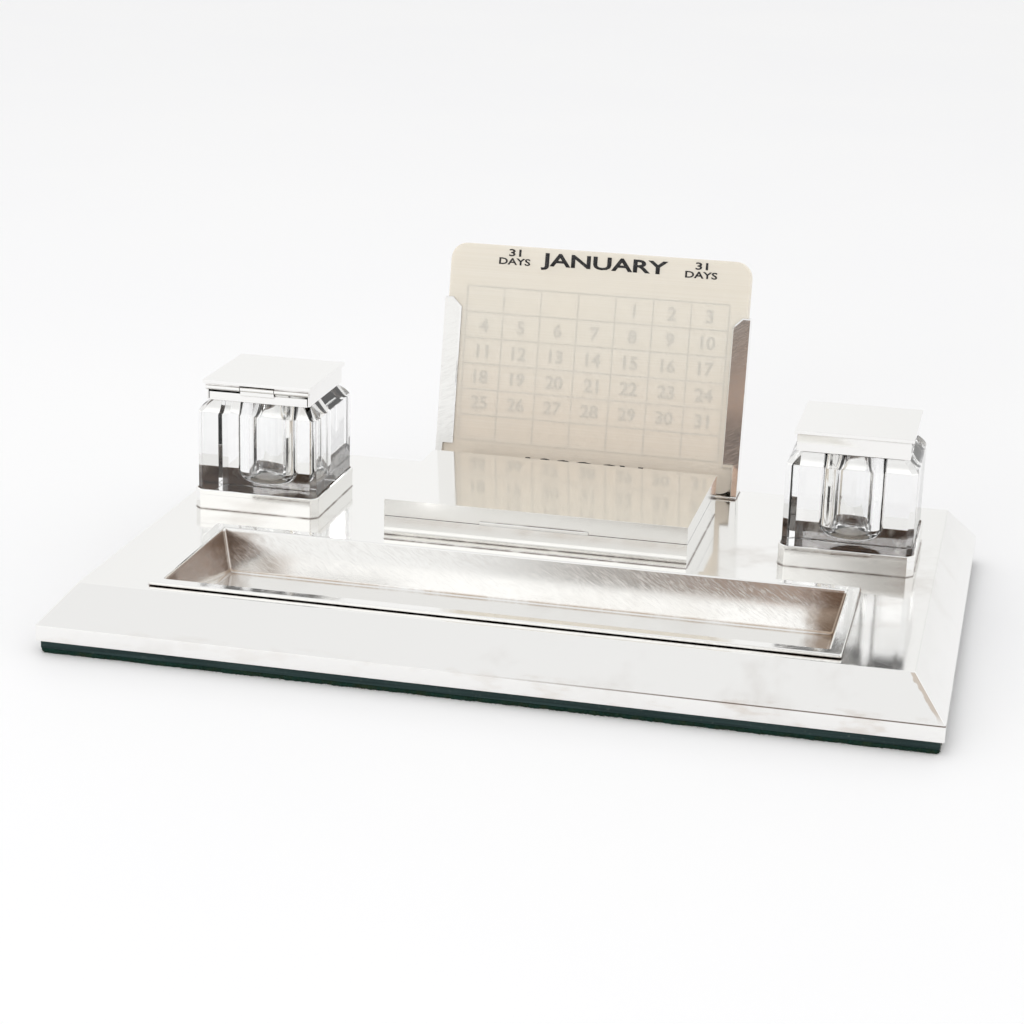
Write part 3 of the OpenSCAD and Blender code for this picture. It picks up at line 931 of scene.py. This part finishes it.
def build_floor(material):
    bm = bmesh.new()
    bmesh.ops.create_grid(bm, x_segments=24, y_segments=24, size=4.5)
    floor = mesh_object("studio_floor", bm)
    floor.data.materials.append(material)


def build_world():
    """A white light tent that is brighter overhead, with the darker opening that the camera looks through."""
    world = bpy.data.worlds.new("light_tent")
    bpy.context.scene.world = world
    world.use_nodes = True
    n = Nodes(world.node_tree, "Generated")
    x, y, z = n.parts()
    front = n.math("MULTIPLY", y, -1.0)
    across = n.math("DIVIDE", x, n.math("MAXIMUM", front, 0.05))

    # the tent's walls, from left to right, then overhead and the lamp band at the back
    wall = n.mix(n.between(x, -0.5, -0.22), (0.915, 0.915, 0.91, 1), (0.965, 0.965, 0.96, 1))
    wall = n.mix(n.between(x, -0.16, 0.12), wall, (0.86, 0.86, 0.85, 1))
    wall = n.mix(n.between(x, 0.45, 0.65), wall, (1.0, 1.0, 1.0, 1))
    wall = n.mix(n.between(z, 0.45, 0.8), wall, (0.90, 0.90, 0.90, 1))
    band = n.product(n.between(z, 0.45, 0.5), n.between(z, 0.58, 0.66, 1.0, 0.0), n.between(y, 0.1, 0.4))
    wall = n.mix(band, wall, (1.25, 1.25, 1.25, 1))
    bright = n.product(n.between(front, 0.3, 0.5), n.between(z, 0.4, 0.55, 1.0, 0.0))
    front_wall = n.mix(n.between(z, 0.17, 0.28), (0.99, 0.99, 0.98, 1), (1.15, 1.15, 1.14, 1))
    wall = n.mix(bright, wall, front_wall)

    # the opening's left edge leans to the right as it rises
    edge = n.math("SUBTRACT", across, n.product(z, 0.7))
    opening = n.product(n.between(edge, -0.315, -0.295), n.between(across, 0.6, 1.1, 1.0, 0.0))
    opening = n.product(opening, n.between(z, 0.33, 0.43, 1.0, 0.0), n.between(front, 0.1, 0.3))
    clutter = n.noise(14.0, detail=3.0, distortion=1.0)
    room = n.mix(n.between(clutter, 0.46, 0.6), (0.10, 0.096, 0.095, 1), (0.62, 0.44, 0.34, 1))
    room = n.mix(n.between(edge, -0.27, -0.22), (0.4, 0.39, 0.37, 1), room)

    background = n.tree.nodes["Background"]
    n.link(n.mix(opening, wall, room), background.inputs["Color"])
    background.inputs["Strength"].default_value = 1.0


def build_lights():
    """A soft panel in the roof of the tent and one behind the camera, which the silver doesn't mirror."""
    roof = ("roof_panel", (-0.25, -0.1, 1.8), (1.4, 1.0), 2.0)
    front = ("front_panel", (-0.5, -2.1, 0.55), (1.2, 0.7), 11.0)
    for name, place, size, energy in (roof, front):
        data = bpy.data.lights.new(name, "AREA")
        data.shape = "RECTANGLE"
        data.size, data.size_y = size
        data.energy = energy
        lamp = bpy.data.objects.new(name, data)
        lamp.location = place
        lamp.rotation_euler = (-Vector(place)).to_track_quat("-Z", "Y").to_euler()
        lamp.visible_glossy = False
        lamp.visible_camera = False
        bpy.context.scene.collection.objects.link(lamp)


def build_camera():
    """The camera stands to the right of the middle and looks down on the stand."""
    place = Vector((0.1838, -0.8559, 0.3143))
    azimuth, elevation, roll = (math.radians(a) for a in (-12.86, 17.54, 1.57))
    level = Vector((math.sin(azimuth), math.cos(azimuth), 0))
    ahead = level * math.cos(elevation) - Vector((0, 0, math.sin(elevation)))
    right = Vector((math.cos(azimuth), -math.sin(azimuth), 0))
    up = right.cross(ahead)
    across = right * math.cos(roll) + up * math.sin(roll)
    upright = up * math.cos(roll) - right * math.sin(roll)
    data = bpy.data.cameras.new("camera")
    data.sensor_width = 36.0
    data.lens = 82.54
    data.clip_start, data.clip_end = 0.05, 20.0
    camera = bpy.data.objects.new("camera", data)
    turn = Matrix((across, upright, -ahead)).transposed().to_4x4()
    camera.matrix_world = Matrix.Translation(place) @ turn
    bpy.context.scene.collection.objects.link(camera)
    bpy.context.scene.camera = camera


# ---------------------------------------------------------------- build

silver = silver_finish("polished_silver")
top_silver = silver_finish("base_silver", rough=0.075, scratch=0.06, wave=0.8, patch=0.4, coat=base_stain)
tray_silver = silver_finish("tray_silver", rough=0.09, scratch=0.13, seam=1.0, patch=0.12, turn=-0.6,
                            coat=tray_stain)
socket_boxes = [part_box(side + "_socket") for side in ("left", "right")]
centres = [((a.x + b.x) / 2, (a.y + b.y) / 2, 0) for a, b in socket_boxes]
pad_low, pad_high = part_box("left_pad")
socket_silver = socket_finish("socket_silver", centres, (pad_high.x - pad_low.x) / 2 + 0.35 * MM, GLASS_CUT)
steel = metal_finish("pin_steel", (0.7, 0.69, 0.67, 1), 0.25)
brass = metal_finish("screw_brass", (0.72, 0.52, 0.24, 1), 0.3)
pine = wood_finish("core_pine", (0.62, 0.45, 0.26, 1), (0.45, 0.29, 0.14, 1), along=0)
cedar = wood_finish("cedar_lining", (0.46, 0.2, 0.09, 1), (0.28, 0.1, 0.045, 1), along=0)
LINT = (0.02, 0.035, 0.018, 1)
baize = baize_finish("green_baize", (0.004, 0.016, 0.013, 1), (0.014, 0.045, 0.035, 1), LINT)
fluff = baize_finish("baize_fluff", LINT, (0.05, 0.07, 0.03, 1), (0.09, 0.075, 0.04, 1))

build_base(top_silver, pine, board_finish(), baize, fluff, brass)
build_tray(tray_silver)
build_inkwells(silver, socket_silver, glass_finish(), leather_finish(), steel)
build_box(silver, cedar, steel)
build_calendar(silver)

build_floor(floor_finish())
build_world()
build_lights()
build_camera()
bpy.context.scene.view_settings.view_transform = "Standard"
